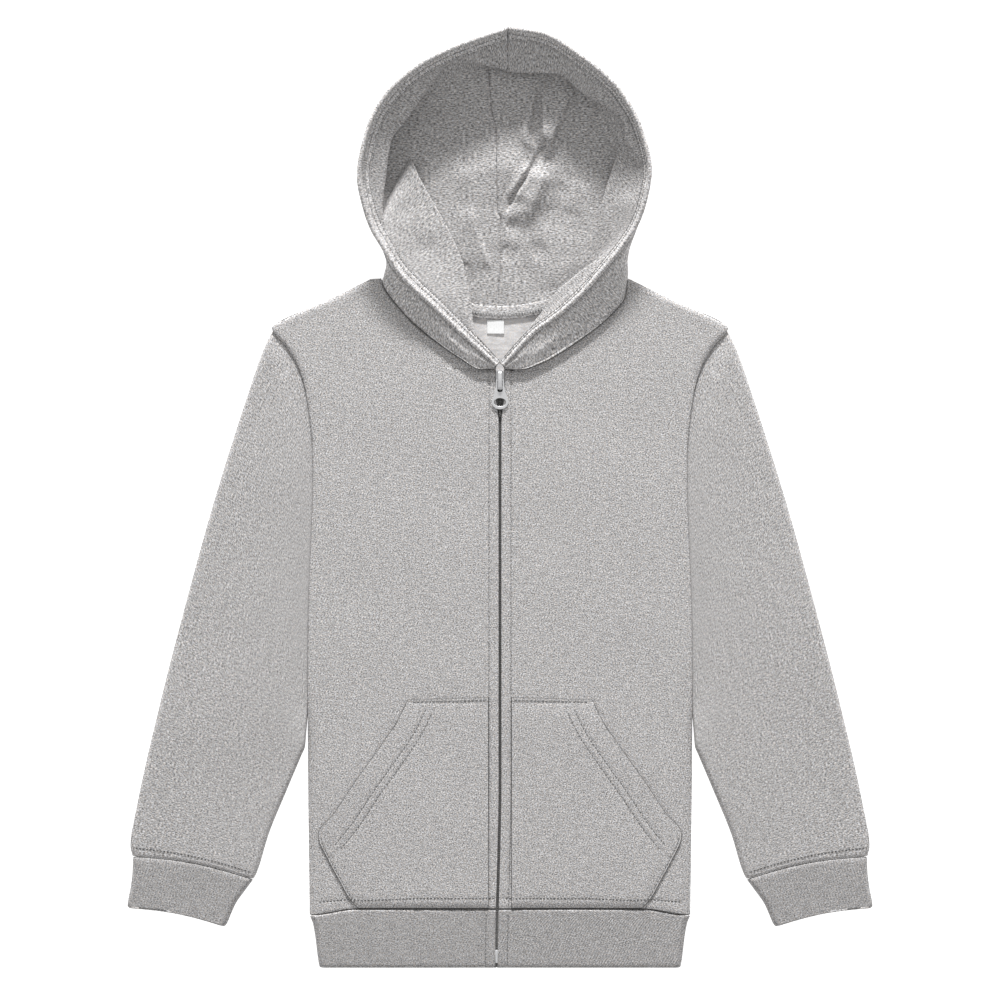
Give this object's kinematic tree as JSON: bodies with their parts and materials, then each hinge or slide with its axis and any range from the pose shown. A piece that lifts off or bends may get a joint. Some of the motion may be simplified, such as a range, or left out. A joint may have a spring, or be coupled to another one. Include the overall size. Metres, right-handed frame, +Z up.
{
  "type": "zip up hoodie",
  "caption": "Child's grey marl zip-up hoodie laid flat on its back, hood open, zip closed to the neck, with patch pockets and ribbed cuffs and hem.",
  "frame": {"origin": "on the surface the garment lies on, under the middle of its bounding box", "axes": "+Y from the hem to the hood, +Z up from the surface, +X to the right as seen from above"},
  "size_m": [0.5156, 0.6488, 0.0266],
  "materials": {
    "body_fleece": "light grey marl sweatshirt fleece, matt",
    "hood_jersey": "grey marl jersey, matt",
    "rib_knit": "grey marl fine rib, matt",
    "neck_tape": "grey herringbone tape",
    "zip_tape": "slate grey woven zip tape and coil",
    "label_satin": "white satin",
    "zip_metal": "nickel-plated, lightly brushed"
  },
  "bodies": {
    "garment": {"back_panel": "body_fleece", "front_left": "body_fleece", "front_right": "body_fleece", "pocket_left": "body_fleece", "pocket_right": "body_fleece", "sleeve_left": "body_fleece", "sleeve_right": "body_fleece", "hood_outer_left": "body_fleece", "hood_outer_right": "body_fleece", "hood_facing_left": "body_fleece", "hood_facing_right": "body_fleece", "hood_lining_left": "hood_jersey", "hood_lining_right": "hood_jersey", "waistband": "rib_knit", "cuff_left": "rib_knit", "cuff_right": "rib_knit", "neck_tape": "neck_tape", "size_label": "label_satin", "zip_tape_left": "zip_tape", "zip_tape_right": "zip_tape", "zip_box": "zip_metal", "zip_slider": "zip_metal"},
    "pull_tab": {"zip_pull": "zip_metal"}
  },
  "joints": [
    {"name": "zip_pull_hinge", "type": "hinge", "parent": "garment", "child": "pull_tab", "pos_m": [0, 0.08115, 0.0084], "axis": [-1, 0, 0], "range_deg": [0, 150]}
  ]
}
